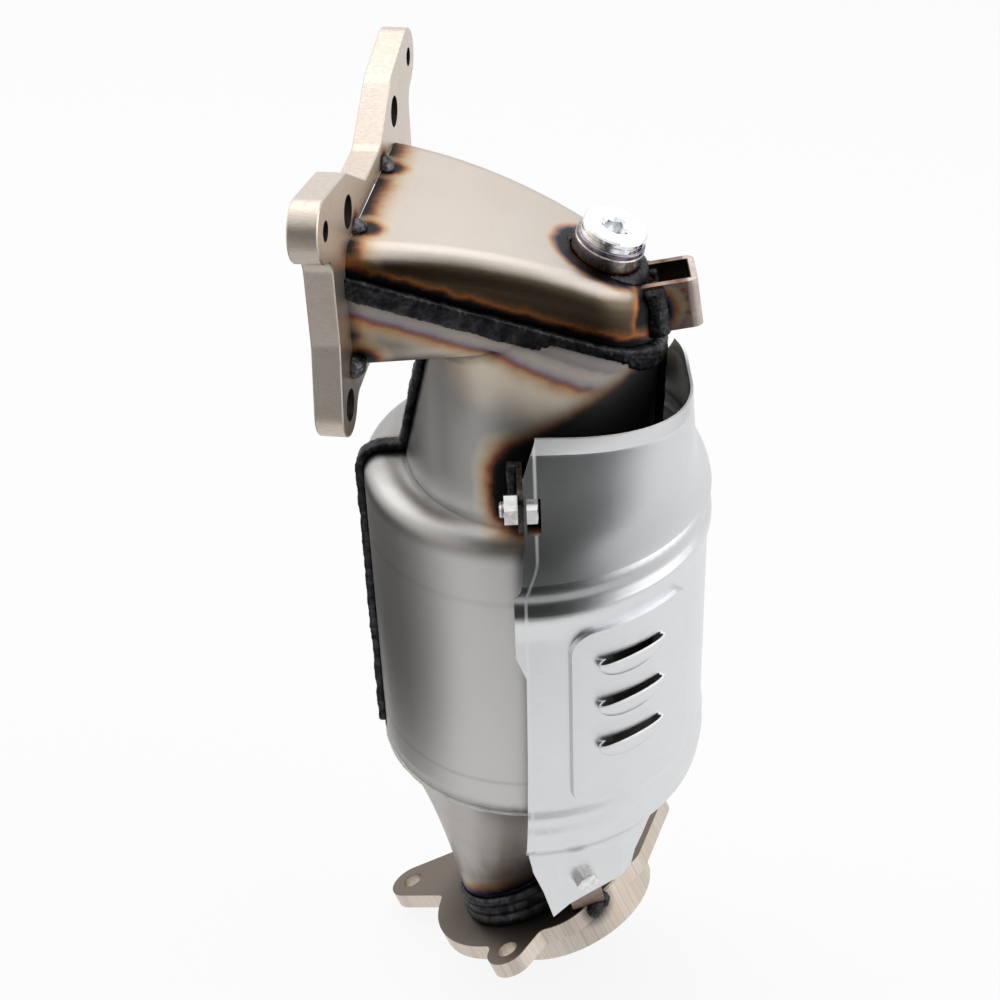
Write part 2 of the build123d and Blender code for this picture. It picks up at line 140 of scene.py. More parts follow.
def add(tree, a, b):
    return mathNode(tree, "ADD", a, b)


def subtract(tree, a, b):
    return mathNode(tree, "SUBTRACT", a, b)


def multiply(tree, a, b):
    return mathNode(tree, "MULTIPLY", a, b)


def scaleAdd(tree, value, factor, offset):
    return mathNode(tree, "MULTIPLY_ADD", value, factor, offset)


def larger(tree, a, b):
    return mathNode(tree, "MAXIMUM", a, b)


def sizeOf(tree, value):
    return mathNode(tree, "ABSOLUTE", value)


def vectorNode(tree, operation, *inputs, scalar=False):
    node = addNode(tree, "VectorMath", operation=operation)
    for socket, value in zip(node.inputs, inputs):
        feed(tree, socket, value)
    return node.outputs["Value"] if scalar else node.outputs["Vector"]


def noiseNode(tree, place, scale, detail=3.0, roughness=0.55):
    node = addNode(tree, "TexNoise")
    feed(tree, node.inputs["Vector"], place)
    feed(tree, node.inputs["Scale"], scale)
    node.inputs["Detail"].default_value = detail
    node.inputs["Roughness"].default_value = roughness
    return node.outputs["Fac"]


def rampNode(tree, value, stops):
    node = addNode(tree, "ValToRGB")
    feed(tree, node.inputs["Fac"], value)
    ramp = node.color_ramp
    ramp.elements[0].position, ramp.elements[0].color = stops[0]
    ramp.elements[1].position, ramp.elements[1].color = stops[-1]
    for place, colour in stops[1:-1]:
        ramp.elements.new(place).color = colour
    return node


# eases from start to end while the value goes from low to high; a span in the settings below holds these
# numbers in this order
def spanNode(tree, value, low, high, start=0.0, end=1.0):
    node = addNode(tree, "MapRange")
    node.interpolation_type = "SMOOTHSTEP"
    span = {"Value": value, "From Min": low, "From Max": high, "To Min": start, "To Max": end}
    for name, number in span.items():
        feed(tree, node.inputs[name], number)
    return node.outputs["Result"]


def mixColour(tree, amount, a, b):
    node = addNode(tree, "Mix", data_type="RGBA")
    feed(tree, node.inputs["Factor"], amount)
    feed(tree, node.inputs[6], a)
    feed(tree, node.inputs[7], b)
    return node.outputs[2]


def newGroup(name, inputs, outputs):
    tree = bpy.data.node_groups.new(name, "ShaderNodeTree")
    for label, kind in inputs:
        tree.interface.new_socket(label, in_out="INPUT", socket_type="NodeSocket" + kind)
    for label, kind in outputs:
        tree.interface.new_socket(label, in_out="OUTPUT", socket_type="NodeSocket" + kind)
    return tree, tree.nodes.new("NodeGroupInput"), tree.nodes.new("NodeGroupOutput")


def useGroup(tree, group, **inputs):
    node = addNode(tree, "Group")
    node.node_tree = group
    for name, value in inputs.items():
        feed(tree, node.inputs[name], value)
    return node


def makeCanPlace():
    tree, _, out = newGroup("canPlace", [], [("Place", "Vector")])
    place = addNode(tree, "TexCoord").outputs["Object"]
    turned = addNode(tree, "Mapping", vector_type="POINT")
    feed(tree, turned.inputs["Vector"], place)
    turned.inputs["Scale"].default_value = (1 / mm, 1 / mm, 1 / mm)
    turned.inputs["Rotation"].default_value = (0, 0, canFrame["turn"])
    turned.inputs["Location"].default_value = canFrame["headPoint"]
    tree.links.new(turned.outputs["Vector"], out.inputs["Place"])
    return tree


# colours that steel takes beside a weld, from the bead outwards; the fourth number is how well it covers
tintStops = {
    "blueTint": [
        (0.0, (0.012, 0.012, 0.014, 1.0)),
        (0.16, (0.018, 0.018, 0.024, 1.0)),
        (0.27, (0.05, 0.05, 0.09, 0.95)),
        (0.36, (0.16, 0.08, 0.11, 0.9)),
        (0.46, (0.34, 0.14, 0.06, 0.85)),
        (0.60, (0.44, 0.25, 0.11, 0.7)),
        (0.80, (0.60, 0.46, 0.30, 0.35)),
        (1.0, (0.65, 0.58, 0.50, 0.0)),
    ],
    "warmTint": [
        (0.0, (0.010, 0.010, 0.011, 1.0)),
        (0.12, (0.030, 0.018, 0.014, 1.0)),
        (0.26, (0.16, 0.050, 0.022, 0.95)),
        (0.38, (0.34, 0.14, 0.05, 0.85)),
        (0.55, (0.46, 0.30, 0.15, 0.6)),
        (0.78, (0.58, 0.47, 0.33, 0.3)),
        (1.0, (0.65, 0.58, 0.50, 0.0)),
    ],
    "emberTint": [
        (0.0, (0.010, 0.010, 0.011, 1.0)),
        (0.30, (0.014, 0.012, 0.012, 1.0)),
        (0.42, (0.10, 0.035, 0.018, 0.95)),
        (0.58, (0.40, 0.15, 0.045, 0.85)),
        (0.72, (0.26, 0.12, 0.05, 0.6)),
        (1.0, (0.12, 0.08, 0.045, 0.0)),
    ],
    "lilacTint": [
        (0.0, (0.24, 0.22, 0.21, 1.0)),
        (0.08, (0.36, 0.33, 0.30, 0.95)),
        (0.22, (0.42, 0.37, 0.33, 0.8)),
        (0.36, (0.31, 0.28, 0.33, 0.85)),
        (0.47, (0.17, 0.10, 0.14, 0.9)),
        (0.54, (0.28, 0.08, 0.035, 0.92)),
        (0.62, (0.48, 0.21, 0.07, 0.8)),
        (0.80, (0.60, 0.42, 0.24, 0.45)),
        (1.0, (0.65, 0.58, 0.50, 0.0)),
    ],
}
grainSettings = {
    "tintWander": 0.16,  # how closely the edge of a heat band wanders, per millimetre
    "cloud": 0.035,  # slow change of tone, per millimetre
    "glossSpan": (0.3, 0.7),  # the part of a noise over which the roughness changes
    "bumpStrength": 0.6,
}


# a ragged heat band: distance from the weld, reach, and how far noise moves its edge, all in millimetres
def makeHeatTint(name, stops, s):
    tree, ins, out = newGroup(name, [("Color", "Color"), ("Distance", "Float"), ("Reach", "Float"),
                                     ("Ragged", "Float"), ("Place", "Vector")], [("Color", "Color")])
    wander = subtract(tree, noiseNode(tree, ins.outputs["Place"], s["tintWander"], 4.0), 0.5)
    moved = scaleAdd(tree, wander, ins.outputs["Ragged"], ins.outputs["Distance"])
    share = mathNode(tree, "DIVIDE", moved, ins.outputs["Reach"], clamp=True)
    ramp = rampNode(tree, share, stops)
    mixed = mixColour(tree, ramp.outputs["Alpha"], ins.outputs["Color"], ramp.outputs["Color"])
    tree.links.new(mixed, out.inputs["Color"])
    return tree


# fine brushing, drawn out along the axes where Stretch is small, and a slow cloud of tone
def makeBrushing(s):
    tree, ins, out = newGroup("brushing", [("Place", "Vector"), ("Stretch", "Vector")],
                              [("Mask", "Float"), ("Cloud", "Float")])
    stretched = vectorNode(tree, "MULTIPLY", ins.outputs["Place"], ins.outputs["Stretch"])
    tree.links.new(noiseNode(tree, stretched, 1.0, 4.0, 0.7), out.inputs["Mask"])
    tree.links.new(noiseNode(tree, ins.outputs["Place"], s["cloud"]), out.inputs["Cloud"])
    return tree


canPlace = makeCanPlace()
tints = {name: makeHeatTint(name, stops, grainSettings) for name, stops in tintStops.items()}
brushing = makeBrushing(grainSettings)


def newMaterial(name):
    material = bpy.data.materials.new(name)
    material.use_nodes = True
    tree = material.node_tree
    tree.nodes.clear()
    shader = addNode(tree, "BsdfPrincipled")
    output = addNode(tree, "OutputMaterial")
    tree.links.new(shader.outputs["BSDF"], output.inputs["Surface"])
    place = useGroup(tree, canPlace).outputs["Place"]
    return material, tree, shader, place


# depth is the full height of the bump in millimetres
def finishMetal(tree, shader, colour, roughness, height, depth, metallic=1.0):
    feed(tree, shader.inputs["Base Color"], colour)
    feed(tree, shader.inputs["Roughness"], roughness)
    shader.inputs["Metallic"].default_value = metallic
    bump = addNode(tree, "Bump")
    bump.inputs["Strength"].default_value = grainSettings["bumpStrength"]
    bump.inputs["Distance"].default_value = depth * mm
    feed(tree, bump.inputs["Height"], height)
    tree.links.new(bump.outputs["Normal"], shader.inputs["Normal"])
    return bump


# roughness from low to high along the brushing, or along a noise
def finishBrushed(tree, shader, colour, grain, s, height=None):
    mask = grain.outputs["Mask"]
    low, high = s["rough"]
    rough = scaleAdd(tree, mask, high - low, low)
    return finishMetal(tree, shader, colour, rough, mask if height is None else height, s["bump"])


def finishGrained(tree, shader, colour, grain, s):
    rough = spanNode(tree, grain, *grainSettings["glossSpan"], *s["rough"])
    finishMetal(tree, shader, colour, rough, grain, s["bump"], s.get("metallic", 1.0))


# a band in the settings below holds its reach and its raggedness in millimetres and its kind
def tinted(tree, colour, place, distance, band):
    reach, ragged, kind = band
    return useGroup(tree, tints[kind], Color=colour, Distance=distance, Reach=reach, Ragged=ragged,
                    Place=place).outputs["Color"]


def axesOf(tree, place):
    split = addNode(tree, "SeparateXYZ")
    feed(tree, split.inputs[0], place)
    return split.outputs


def planeHeight(tree, place, normal, offset):
    return subtract(tree, vectorNode(tree, "DOT_PRODUCT", place, normal, scalar=True), offset)


def spotDistance(tree, place, spot, radius):
    return subtract(tree, vectorNode(tree, "DISTANCE", place, spot, scalar=True), radius)


def axisDistance(tree, place, spot, axis, radius):
    arm = vectorNode(tree, "SUBTRACT", place, spot)
    around = vectorNode(tree, "CROSS_PRODUCT", arm, axis)
    return subtract(tree, vectorNode(tree, "LENGTH", around, scalar=True), radius)


def seamDistance(tree, place):
    return planeHeight(tree, place, (canFrame["seamSlope"], 0, 1), canFrame["seamRise"])


# distance from the back of the head flange
def plateDistance(tree):
    split = axesOf(tree, addNode(tree, "TexCoord").outputs["Object"])
    return scaleAdd(tree, split[0], 1 / mm, -canFrame["plateBack"])


def aroundTacks(tree, colour, place, spots, s):
    for spot in spots:
        colour = tinted(tree, colour, place, spotDistance(tree, place, spot, s["tackRadius"]), s["tackBand"])
    return colour


# head flange: ground plate with brushed edges, and painted shade darkening its bores
flangeSettings = {
    "colour": (0.72, 0.66, 0.60, 1),
    "warm": (0.60, 0.51, 0.42, 1),
    "scratch": (0.35, 0.29, 0.24, 1),
    "boreShade": (0.045, 0.040, 0.036, 1),
    "scratchSpan": (0.3, 0.75, 0.0, 0.35),
    "boreShadeSpan": (0.1, 0.3, 0.88, 0.0),
    "tackRadius": 4.0,
    "tackBand": (5.0, 3.0, "warmTint"),
    "rough": (0.27, 0.49),
    "stretch": (0.5, 0.5, 3.2),
    "bump": 0.12,
    "bores": [(39.0, 0.0, 5.5), (58.5, -62.6, 5.5), (68.5, 8.4, 3.3)],  # to the side, up and radius
}


def flangeSteel(s):
    material, tree, shader, place = newMaterial("groundFlangeSteel")
    grain = useGroup(tree, brushing, Place=place, Stretch=s["stretch"])
    colour = mixColour(tree, grain.outputs["Cloud"], s["colour"], s["warm"])
    colour = mixColour(tree, spanNode(tree, grain.outputs["Mask"], *s["scratchSpan"]), colour, s["scratch"])
    colour = aroundTacks(tree, colour, place, weldSpots["tacks"], s)
    across = toCan((mm, 0, 0)) - toCan((0, 0, 0))
    # painted shade: the walls of the bores are darkened
    for aside, up, radius in s["bores"]:
        for side in (1, -1):
            wall = axisDistance(tree, place, toCan((0, side * aside * mm, up * mm)), across, radius)
            colour = mixColour(tree, spanNode(tree, wall, *s["boreShadeSpan"]), colour, s["boreShade"])
    finishBrushed(tree, shader, colour, grain, s)
    return material


# outlet flange: ground edges, and a face browned by heat that darkens to the pipe; that darkening is partly heat
# tint and partly painted shade under the cone
outletSettings = {
    "colour": flangeSettings["colour"],
    "warm": flangeSettings["warm"],
    "scratch": (0.34, 0.28, 0.23, 1),
    "face": (0.14, 0.115, 0.092, 1),
    "faceShare": 0.92,
    "burnAndShade": (0.035, 0.028, 0.022, 1),
    "burnAndShadeSpan": (2.0, 34.0, 0.95, 0.0),  # from the pipe outwards
    "burnAndShadeCloud": 8.0,
    "footBurnt": (0.03, 0.025, 0.022, 1),
    "footRadius": 5.0,
    "footSpan": (0.0, 7.0, 0.9, 0.0),
    "lineSpan": (0.4, 0.7, 0.0, 0.45),
    "topSpan": (-0.5, -0.1),
    "rough": (0.27, 0.52),
    "bump": 0.12,
    "lines": (1.6, 1.6, 1.6),
    "stretch": (0.6, 1.3, 1.9),
}


def outletFlangeSteel(s):
    material, tree, shader, place = newMaterial("groundOutletSteel")
    normal = canFrame["exitNormal"]
    level = planeHeight(tree, place, normal, 0.0)
    flat = vectorNode(tree, "CROSS_PRODUCT", place, normal)
    lines = noiseNode(tree, vectorNode(tree, "MULTIPLY", flat, s["lines"]), 1.0, 3.0, 0.6)
    grain = useGroup(tree, brushing, Place=place, Stretch=s["stretch"])
    colour = mixColour(tree, grain.outputs["Cloud"], s["colour"], s["warm"])
    colour = mixColour(tree, spanNode(tree, lines, *s["lineSpan"]), colour, s["scratch"])
    top = spanNode(tree, level, *s["topSpan"])
    colour = mixColour(tree, multiply(tree, top, s["faceShare"]), colour, s["face"])
    # darker towards the pipe: partly heat tint from the ring weld, partly painted shade under the cone
    ring = axisDistance(tree, place, canFrame["pipeSpot"], normal, canFrame["pipeRadius"])
    drift = scaleAdd(tree, grain.outputs["Cloud"], s["burnAndShadeCloud"], ring)
    burnAndShade = multiply(tree, spanNode(tree, drift, *s["burnAndShadeSpan"]), top)
    colour = mixColour(tree, burnAndShade, colour, s["burnAndShade"])
    foot = spanNode(tree, spotDistance(tree, place, weldSpots["foot"], s["footRadius"]), *s["footSpan"])
    colour = mixColour(tree, foot, colour, s["footBurnt"])
    finishBrushed(tree, shader, colour, grain, s)
    return material


# cover of the duct: pale roof, brown and olive wall, ember rim over the seam; the wall's darkness below the
# shoulder is partly heat tint and partly painted shade
coverSettings = {
    "colour": (0.58, 0.535, 0.49, 1),
    "warm": (0.53, 0.465, 0.405, 1),
    "brown": (0.06, 0.034, 0.018, 1),
    "olive": (0.11, 0.088, 0.055, 1),
    "oliveSpan": (8.0, 22.0),  # over the seam
    "wallSpan": (21.0, 25.0, 0.97, 0.0),
    "wallCloud": 2.0,
    "wallSag": 0.0031,  # the wall is lower towards the flange
    "wallStart": 10.0,
    "fleck": (0.10, 0.07, 0.05, 1),
    "fleckSpan": (0.56, 0.72),
    "fleckShare": 0.3,
    "fleckSize": 1.6,
    "collarRadius": 16.4,
    "collarBand": (6.0, 2.5, "blueTint"),
    "plateBand": (13.0, 4.0, "warmTint"),
    "tackRadius": 3.2,
    "tackBand": (7.0, 3.0, "warmTint"),
    "bracketRadius": 9.0,
    "bracketBand": (7.0, 3.0, "emberTint"),
    "seamBand": (8.0, 5.0, "emberTint"),
    "rough": (0.3, 0.5),
    "bump": 0.08,
    "stretch": (0.5, 1.2, 1.2),
}


def coverSteel(s):
    material, tree, shader, place = newMaterial("tintedCoverSteel")
    grain = useGroup(tree, brushing, Place=place, Stretch=s["stretch"])
    grit = noiseNode(tree, place, s["fleckSize"], 5.0, 0.75)
    fleck = spanNode(tree, grit, *s["fleckSpan"])
    colour = mixColour(tree, grain.outputs["Cloud"], s["colour"], s["warm"])
    rise = seamDistance(tree, place)
    # the wall below the shoulder is darkened: partly heat tint, partly painted shade
    back = larger(tree, subtract(tree, s["wallStart"], axesOf(tree, place)[0]), 0.0)
    shoulder = scaleAdd(tree, mathNode(tree, "POWER", back, 2.0), s["wallSag"], rise)
    wall = scaleAdd(tree, grain.outputs["Cloud"], s["wallCloud"], shoulder)
    olive = mixColour(tree, spanNode(tree, rise, *s["oliveSpan"]), s["brown"], s["olive"])
    colour = mixColour(tree, spanNode(tree, wall, *s["wallSpan"]), colour, olive)
    collar = axisDistance(tree, place, canFrame["bungTop"], canFrame["bungAxis"], s["collarRadius"])
    colour = tinted(tree, colour, place, collar, s["collarBand"])
    colour = tinted(tree, colour, place, plateDistance(tree), s["plateBand"])
    colour = aroundTacks(tree, colour, place, weldSpots["tacks"][:2], s)
    bracket = spotDistance(tree, place, weldSpots["bracket"], s["bracketRadius"])
    colour = tinted(tree, colour, place, bracket, s["bracketBand"])
    above = subtract(tree, rise, canFrame["seamHalf"])
    colour = tinted(tree, colour, place, above, s["seamBand"])
    colour = mixColour(tree, multiply(tree, fleck, s["fleckShare"]), colour, s["fleck"])
    finishBrushed(tree, shader, colour, grain, s)
    return material


# painted shade and dark reflection in the hollow beside the shield: black below a slanting line, with a warm
# heat-tint rim on the side of the upper bracket
hollowShadeSettings = {
    "colour": (0.010, 0.010, 0.010, 1),
    "slope": 0.38,
    "rise": 269.0,
    "left": -9.5,
    "low": 240.0,
    "back": 4.0,
    "span": (-7.0, 6.0, 0.98, 0.0),
    "rimBand": (8.5, 3.0, "warmTint"),
    "rimGap": 5.0,  # between the painted shade's edge and its rim
    "round": 16.0,
}


def hollowShaded(tree, colour, place, axes, s):
    top = planeHeight(tree, place, (-s["slope"], 0, 1), s["rise"])
    side = scaleAdd(tree, axes[0], -1.0, s["left"])
    low = scaleAdd(tree, axes[2], -1.0, s["low"])
    ends = larger(tree, low, subtract(tree, axes[1], s["back"]))
    sides = mathNode(tree, "SMOOTH_MAX", side, ends, s["round"])
    rim = mathNode(tree, "SMOOTH_MAX", sides, add(tree, top, s["rimGap"]), s["round"])
    colour = tinted(tree, colour, place, rim, s["rimBand"])
    shade = mathNode(tree, "SMOOTH_MAX", top, add(tree, sides, s["rimGap"]), s["round"])
    return mixColour(tree, spanNode(tree, shade, *s["span"]), colour, s["colour"])


# the two pressed halves: rolled can, neck and shoulder painted darker as shade and dark reflection, cream patch
# and lilac band under the seam
canSettings = {
    "colour": (0.58, 0.57, 0.56, 1),
    "warm": (0.55, 0.53, 0.51, 1),
    "neck": (0.31, 0.30, 0.29, 1),
    "neckLeftShade": (0.09, 0.086, 0.082, 1),
    "neckLeftShadeSpan": (-38.0, -12.0),  # towards the tip
    "neckShadeSpan": (232.0, 256.0, 0.0, 0.95),
    "neckCloud": 8.0,
    # painted highlight on the left of the neck
    "streak": coverSettings["colour"],
    "neckHighlightPlace": 33.0,
    "streakSpan": (1.0, 7.0, 0.22, 0.0),
    "streakRise": (240.0, 255.0),
    "cream": (0.80, 0.70, 0.56, 1),
    "creamSpan": (16.0, 38.0, 0.9, 0.0),  # below the seam
    "creamSide": (-34.0, -14.0, 0.35, 1.0),
    "creamCloud": 10.0,
    # painted shade along the creases and steps round the can
    "ring": (0.16, 0.14, 0.12, 1),
    "shadedCreases": [(231.0, 6.0, 0.55), (208.0, 2.2, 0.12), (120.5, 1.6, 0.22)],  # height, half width and strength
    "seam": (0.04, 0.03, 0.024, 1),
    "seamHalf": 2.6,
    "seamSpan": (0.5, 6.5, 0.95, 0.0),
    "plateLow": 285.0,  # the flange's heat shows above this height
    "plateBand": (9.0, 4.0, "warmTint"),
    "tackRadius": 3.5,
    "tackBand": (8.0, 3.0, "warmTint"),
    "seamBand": (14.0, 3.0, "lilacTint"),
    "oxideMatt": 0.85,  # how far the cream shows as a coat and not as metal
    "oxideSpan": (8.0, 18.0, 0.85, 0.0),  # the same for the lilac band, below the seam
    "blend": 7.0,  # the neck flows into the shoulder with a soft pressed radius
    "blendSamples": 8,
    "rough": (0.34, 0.46),
    "bump": 0.05,
    "stretch": (0.25, 0.25, 3.0),
}


def canSteel(s):
    material, tree, shader, place = newMaterial("rolledCanSteel")
    grain = useGroup(tree, brushing, Place=place, Stretch=s["stretch"])
    cloud = grain.outputs["Cloud"]
    colour = mixColour(tree, cloud, s["colour"], s["warm"])
    axes = axesOf(tree, place)
    # painted shade and dark reflection: the neck and shoulder are darkened, more towards the left
    neck = mixColour(tree, spanNode(tree, axes[0], *s["neckLeftShadeSpan"]), s["neckLeftShade"], s["neck"])
    drift = scaleAdd(tree, cloud, s["neckCloud"], axes[2])
    colour = mixColour(tree, spanNode(tree, drift, *s["neckShadeSpan"]), colour, neck)
    # painted highlight: a pale upright streak on the left of the neck
    streak = sizeOf(tree, add(tree, axes[0], s["neckHighlightPlace"]))
    pale = multiply(tree, spanNode(tree, streak, *s["streakSpan"]), spanNode(tree, axes[2], *s["streakRise"]))
    colour = mixColour(tree, pale, colour, s["streak"])
    below = scaleAdd(tree, seamDistance(tree, place), -1.0, -canFrame["seamHalf"])
    cream = spanNode(tree, scaleAdd(tree, cloud, s["creamCloud"], below), *s["creamSpan"])
    cream = multiply(tree, cream, spanNode(tree, axes[0], *s["creamSide"]))
    colour = mixColour(tree, cream, colour, s["cream"])
    # painted shade: dark lines along the creases and steps round the can
    for height, half, strength in s["shadedCreases"]:
        away = sizeOf(tree, subtract(tree, axes[2], height))
        colour = mixColour(tree, spanNode(tree, away, 0.0, half, strength, 0.0), colour, s["ring"])
    side = subtract(tree, sizeOf(tree, axes[1]), s["seamHalf"])
    colour = mixColour(tree, spanNode(tree, side, *s["seamSpan"]), colour, s["seam"])
    plate = larger(tree, plateDistance(tree), subtract(tree, s["plateLow"], axes[2]))
    colour = tinted(tree, colour, place, plate, s["plateBand"])
    colour = aroundTacks(tree, colour, place, weldSpots["tacks"][2:], s)
    colour = tinted(tree, colour, place, below, s["seamBand"])
    # painted shade and dark reflection in the hollow beside the shield
    colour = hollowShaded(tree, colour, place, axes, hollowShadeSettings)
    bump = finishBrushed(tree, shader, colour, grain, s)
    soft = addNode(tree, "Bevel", samples=s["blendSamples"])
    soft.inputs["Radius"].default_value = s["blend"] * mm
    tree.links.new(soft.outputs["Normal"], bump.inputs["Normal"])
    coat = larger(tree, multiply(tree, cream, s["oxideMatt"]), spanNode(tree, below, *s["oxideSpan"]))
    feed(tree, shader.inputs["Metallic"], subtract(tree, 1.0, coat))
    return material


# outlet cone: spun grey steel, brown streaks and a blue band over the ring weld
coneSettings = {
    "colour": (0.44, 0.42, 0.40, 1),
    "warm": (0.30, 0.27, 0.25, 1),
    "brown": (0.16, 0.12, 0.09, 1),
    "weldRise": 11.0,
    "streak": (0.16, 0.16, 0.02),
    "streakDrop": -34.0,
    "streakRise": 12.0,
    "streakSpan": (0.0, 34.0, 0.7, 0.0),
    "weldBand": (17.0, 8.0, "blueTint"),
    "rough": (0.27, 0.45),
    "bump": 0.06,
    "stretch": (0.9, 0.9, 0.25),
}


def coneSteel(s):
    material, tree, shader, place = newMaterial("spunConeSteel")
    grain = useGroup(tree, brushing, Place=place, Stretch=s["stretch"])
    colour = mixColour(tree, grain.outputs["Cloud"], s["colour"], s["warm"])
    rise = planeHeight(tree, place, canFrame["exitNormal"], s["weldRise"])
    streak = noiseNode(tree, vectorNode(tree, "MULTIPLY", place, s["streak"]), 1.0)
    lower = scaleAdd(tree, streak, s["streakDrop"], add(tree, rise, s["streakRise"]))
    colour = mixColour(tree, spanNode(tree, lower, *s["streakSpan"]), colour, s["brown"])
    colour = tinted(tree, colour, place, rise, s["weldBand"])
    finishBrushed(tree, shader, colour, grain, s)
    return material


# weld metal: near black with paler bluish lumps and rust in the pits
weldSettings = {
    "dark": (0.012, 0.0125, 0.015, 1),
    "rust": (0.10, 0.085, 0.07, 1),
    "fine": 1.4,
    "cloud": 0.22,
    "paleSpan": (0.35, 0.7),
    "rustSpan": (0.55, 0.8, 0.0, 0.5),
    "rough": (0.28, 0.55),
    "bump": 0.25,
    "metallic": 0.85,
    "paleTone": (1.0, 1.02, 1.12),
    "beadLight": 0.05,
    "tackLight": 0.16,
}


def weldMetal(name, light, s):
    material, tree, shader, place = newMaterial(name)
    fine = noiseNode(tree, place, s["fine"], 5.0, 0.65)
    cloud = noiseNode(tree, place, s["cloud"])
    pale = (*(light * tone for tone in s["paleTone"]), 1)
    colour = mixColour(tree, spanNode(tree, cloud, *s["paleSpan"]), s["dark"], pale)
    colour = mixColour(tree, spanNode(tree, fine, *s["rustSpan"]), colour, s["rust"])
    finishGrained(tree, shader, colour, fine, s)
    return material


# heat shield: bright brushed sheet; its bump adds the upright lip, the fold along the left edge and the lean
# above the top rib, all in millimetres in the can's frame
shieldSettings = {
    "colour": (0.76, 0.77, 0.78, 1),
    "cool": (0.70, 0.715, 0.73, 1),
    "dull": (0.62, 0.63, 0.65, 1),
    "dullSpan": (0.3, 0.7, 0.0, 0.35),
    "shaded": (0.24, 0.245, 0.25, 1),  # the leaning zone under the lip
    "shadedAcross": (8.0, 66.0, 0.75, 0.15),
    "shadedUp": (230.0, 262.0, 1.0, 0.5),
    # painted shade on the inner face of the sheet, towards the can
    "inside": (0.06, 0.06, 0.058, 1),
    "insideSpan": (-0.35, -0.05, 1.0, 0.0),
    "insideShare": 0.88,
    "axisPlace": (0.05982, -0.01151, 0.0),  # the can's axis, in metres from the part's origin
    "lipLow": 272.6,
    "lipSlope": 0.34,
    "leanLow": 213.5,
    "leanHigh": 226.5,
    "leanSlope": -0.26,
    "leanEdge": 2.0,  # how softly the shade starts and ends
    "lipEdge": 1.5,
    "foldGap": 4.6,
    "foldHigh": 0.6,
    "foldEdge": (-1.4, 0.4),
    "foldLow": (219.0, 236.0, 0.0, 4.4),  # the fold wanders to the right between these heights
    "grain": 0.04,
    "rough": (0.25, 0.41),
    "bump": 1.6,
    "stretch": (0.16, 0.16, 5.0),
}


# painted shade: darkens the faces that turn in towards the can's axis
def shieldInsideShade(tree, s):
    arm = vectorNode(tree, "SUBTRACT", addNode(tree, "TexCoord").outputs["Object"], s["axisPlace"])
    flat = vectorNode(tree, "NORMALIZE", vectorNode(tree, "MULTIPLY", arm, (1, 1, 0)))
    facing = vectorNode(tree, "DOT_PRODUCT", flat, addNode(tree, "NewGeometry").outputs["Normal"], scalar=True)
    return multiply(tree, spanNode(tree, facing, *s["insideSpan"]), s["insideShare"])


def shieldHeight(tree, axes, mask, s):
    lip = multiply(tree, larger(tree, subtract(tree, axes[2], s["lipLow"]), 0.0), s["lipSlope"])
    risen = mathNode(tree, "MINIMUM", larger(tree, subtract(tree, axes[2], s["leanLow"]), 0.0),
                     s["leanHigh"] - s["leanLow"])
    bent = scaleAdd(tree, risen, s["leanSlope"], lip)
    edge = subtract(tree, add(tree, axes[0], s["foldGap"]), spanNode(tree, axes[2], *s["foldLow"]))
    low, high = s["foldEdge"]
    fold = spanNode(tree, edge, s["foldGap"] + low, s["foldGap"] + high, 0.0, s["foldHigh"])
    return scaleAdd(tree, mask, s["grain"], add(tree, bent, fold))


def shieldAlloy(s):
    material, tree, shader, place = newMaterial("aluminisedShield")
    grain = useGroup(tree, brushing, Place=place, Stretch=s["stretch"])
    mask = grain.outputs["Mask"]
    axes = axesOf(tree, place)
    colour = mixColour(tree, grain.outputs["Cloud"], s["colour"], s["cool"])
    colour = mixColour(tree, spanNode(tree, mask, *s["dullSpan"]), colour, s["dull"])
    zone = multiply(tree, spanNode(tree, axes[2], s["leanLow"] - s["leanEdge"], s["leanLow"] + s["leanEdge"]),
                    spanNode(tree, axes[2], s["lipLow"] - s["lipEdge"], s["lipLow"], 1.0, 0.0))
    across = multiply(tree, spanNode(tree, axes[0], *s["shadedAcross"]),
                      spanNode(tree, axes[2], *s["shadedUp"]))
    colour = mixColour(tree, multiply(tree, zone, across), colour, s["shaded"])
    colour = mixColour(tree, shieldInsideShade(tree, s), colour, s["inside"])
    finishBrushed(tree, shader, colour, grain, s, shieldHeight(tree, axes, mask, s))
    return material


# small pieces with one noise that moves both tone and gloss
smallFinishes = {
    "zincPlate": {"colours": [(0.82, 0.82, 0.81, 1), (0.62, 0.62, 0.60, 1)], "scale": 0.45, "detail": 3.0,
                  "mix": (0.3, 0.75), "rough": (0.24, 0.34), "bump": 0.004},
    "brightPlug": {"colours": [(0.86, 0.87, 0.88, 1), (0.74, 0.75, 0.77, 1)], "scale": 0.5, "detail": 3.0,
                   "mix": (0.4, 0.7), "rough": (0.12, 0.2), "bump": 0.003},
    "nearBlackSteel": {"colours": [(0.035, 0.032, 0.030, 1), (0.10, 0.09, 0.085, 1)], "scale": 0.7, "detail": 4.0,
                    "mix": (0.35, 0.7), "rough": (0.35, 0.5), "bump": 0.05},
}


def smallFinish(name):
    s = smallFinishes[name]
    material, tree, shader, place = newMaterial(name)
    grain = noiseNode(tree, place, s["scale"], s["detail"])
    colour = mixColour(tree, spanNode(tree, grain, *s["mix"]), *s["colours"])
    finishGrained(tree, shader, colour, grain, s)
    return material


washerSettings = {
    "stops": [(0.3, (0.13, 0.14, 0.20, 1)), (0.5, (0.24, 0.21, 0.27, 1)), (0.7, (0.40, 0.35, 0.36, 1))],
    "scale": 0.35,
    "rough": (0.22, 0.38),
    "bump": 0.03,
}


